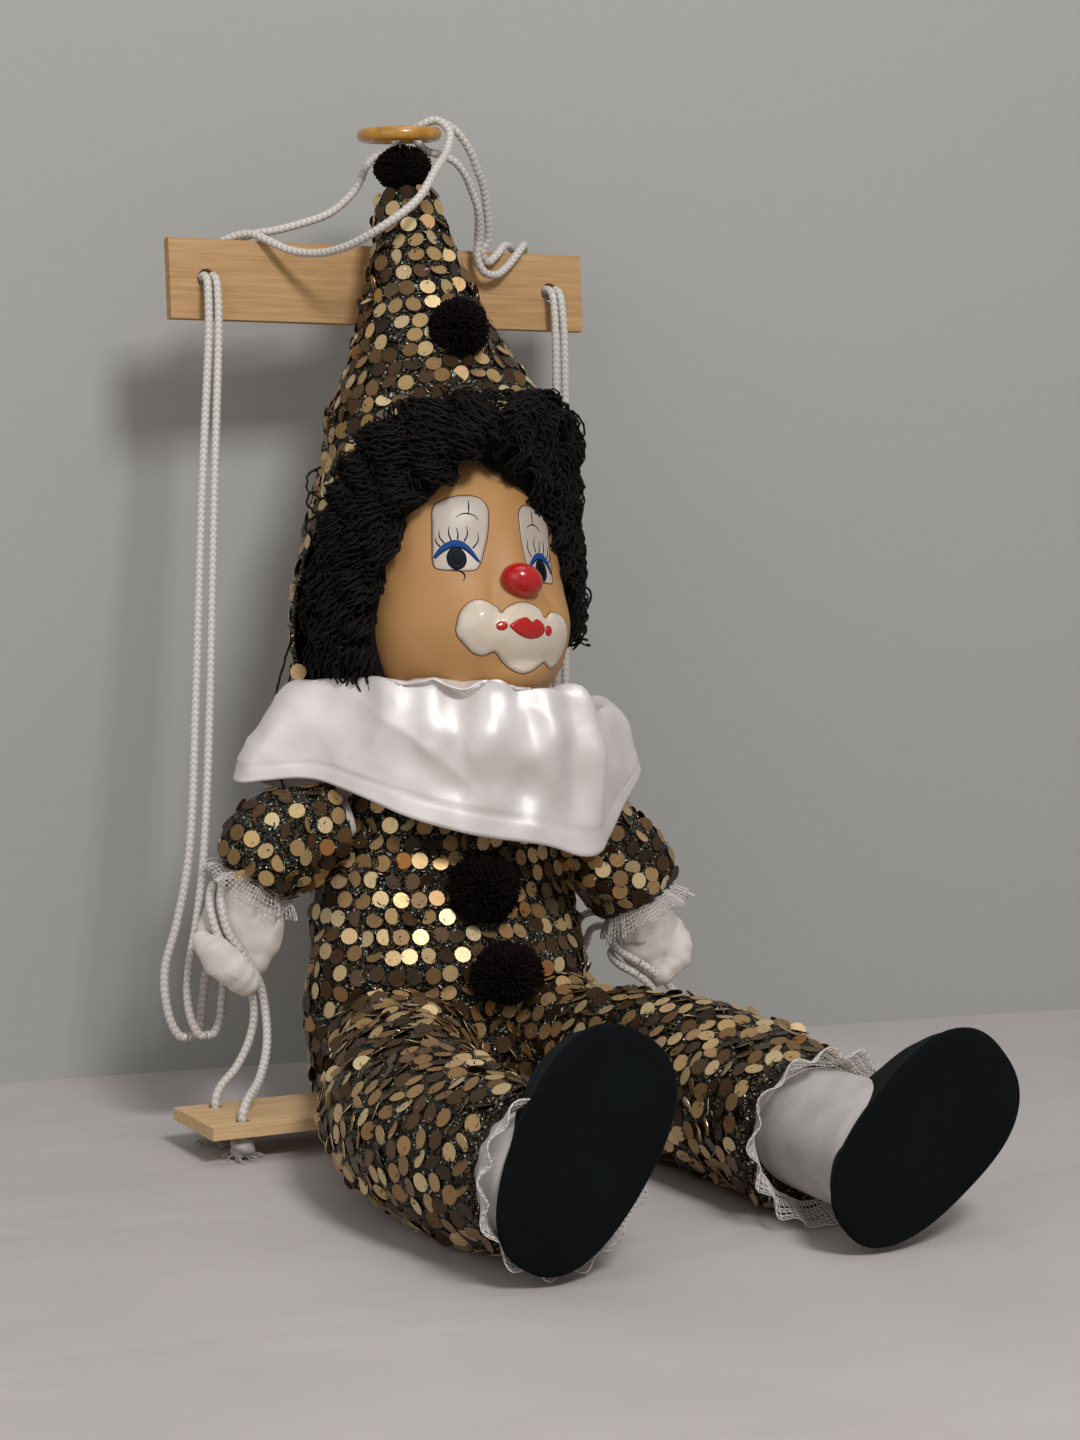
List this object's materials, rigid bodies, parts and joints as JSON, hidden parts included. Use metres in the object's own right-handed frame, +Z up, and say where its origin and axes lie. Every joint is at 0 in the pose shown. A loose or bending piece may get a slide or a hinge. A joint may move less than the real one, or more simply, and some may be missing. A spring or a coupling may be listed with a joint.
{
  "type": "clown doll",
  "caption": "Seated clown doll on a cord swing: painted head, pointed sequinned hat, stuffed body in a sequinned suit, plywood seat, spreader bar and hanging ring.",
  "frame": {"origin": "on the surface that the doll sits on, under the flat at the rear of its suit", "axes": "+Z up, the doll faces -Y, its right hand is at -X, and the seat plank and spreader bar run along X"},
  "size_m": [0.2, 0.2921, 0.3485],
  "materials": {
    "brushed_cloth": "brushed cotton",
    "sequin_cloth": "gold sequins on black glitter mesh",
    "satin": "satin",
    "pompom_yarn": "clipped yarn",
    "yarn": "curly yarn",
    "bisque": "painted, satin",
    "lace": "open lace",
    "velveteen": "short pile",
    "plywood": "sanded, unfinished",
    "varnished_wood": "glossy varnish",
    "braided_cord": "braided nylon"
  },
  "bodies": {
    "trunk": {"cloth_body": "brushed_cloth", "suit_trunk": "sequin_cloth", "collar": "satin", "chest_pompom_upper": "pompom_yarn", "chest_pompom_lower": "pompom_yarn", "seat_plank": "plywood", "seat_knot_right_front": "braided_cord", "seat_knot_right_back": "braided_cord", "seat_knot_left_front": "braided_cord", "seat_knot_left_back": "braided_cord", "right_cord_a_upper": "braided_cord", "right_cord_b_upper": "braided_cord", "left_cord_a_upper": "braided_cord", "left_cord_b_upper": "braided_cord", "right_cord_a_loop": "braided_cord", "right_cord_b_loop": "braided_cord", "left_cord_a_loop": "braided_cord", "left_cord_b_loop": "braided_cord", "right_cord_a_lower": "braided_cord", "right_cord_b_lower": "braided_cord", "left_cord_a_lower": "braided_cord", "left_cord_b_lower": "braided_cord"},
    "right_arm": {"arm_right": "brushed_cloth", "sleeve_right": "sequin_cloth", "wrist_lace_right": "lace", "hand_right": "brushed_cloth", "thumb_right": "brushed_cloth"},
    "left_arm": {"arm_left": "brushed_cloth", "sleeve_left": "sequin_cloth", "wrist_lace_left": "lace", "hand_left": "brushed_cloth", "thumb_left": "brushed_cloth"},
    "right_leg": {"leg_right": "brushed_cloth", "trouser_right": "sequin_cloth", "ankle_lace_right": "lace", "shoe_right": "velveteen", "sole_right": "velveteen"},
    "left_leg": {"leg_left": "brushed_cloth", "trouser_left": "sequin_cloth", "ankle_lace_left": "lace", "shoe_left": "velveteen", "sole_left": "velveteen"},
    "head": {"head": "bisque", "wig": "yarn", "hat": "sequin_cloth", "hat_stuffing": "brushed_cloth", "hat_tip_pompom": "pompom_yarn", "hat_front_pompom": "pompom_yarn", "hat_back_flap": "sequin_cloth"},
    "ring": {"hanging_ring": "varnished_wood"},
    "bar": {"spreader_bar": "plywood", "ring_cord_right": "braided_cord", "ring_cord_left": "braided_cord"}
  },
  "joints": [
    {"name": "neck_turn", "type": "hinge", "parent": "trunk", "child": "head", "pos_m": [0.009, -0.017, 0.138], "axis": [-0.0361, 0.2047, 0.9782], "range_deg": [-25, 25]},
    {"name": "shoulder_right", "type": "hinge", "parent": "trunk", "child": "right_arm", "pos_m": [-0.036, -0.012, 0.106], "axis": [-1, 0, 0], "range_deg": [-15, 30], "deforming": ["sleeve_right", "collar", "right_cord_a_loop", "right_cord_a_lower", "right_cord_b_loop", "right_cord_b_lower"]},
    {"name": "shoulder_left", "type": "hinge", "parent": "trunk", "child": "left_arm", "pos_m": [0.041, -0.013, 0.104], "axis": [-1, 0, 0], "range_deg": [-15, 30], "deforming": ["sleeve_left", "left_cord_a_loop", "left_cord_a_lower", "left_cord_b_loop", "left_cord_b_lower"]},
    {"name": "hip_right", "type": "hinge", "parent": "trunk", "child": "right_leg", "pos_m": [-0.024, -0.038, 0.027], "axis": [-1, 0, 0], "range_deg": [0, 60], "deforming": ["trouser_right", "suit_trunk"]},
    {"name": "hip_left", "type": "hinge", "parent": "trunk", "child": "left_leg", "pos_m": [0.026, -0.038, 0.027], "axis": [-1, 0, 0], "range_deg": [0, 60], "deforming": ["trouser_left"]},
    {"name": "bar_lift", "type": "slide", "parent": "trunk", "child": "bar", "axis": [0, 0, 1], "range_m": [0, 0.04], "deforming": ["right_cord_a_upper", "right_cord_b_upper", "left_cord_a_upper", "left_cord_b_upper"]},
    {"name": "ring_lift", "type": "slide", "parent": "bar", "child": "ring", "axis": [0, 0, 1], "range_m": [0, 0.03], "deforming": ["ring_cord_right", "ring_cord_left"]}
  ]
}
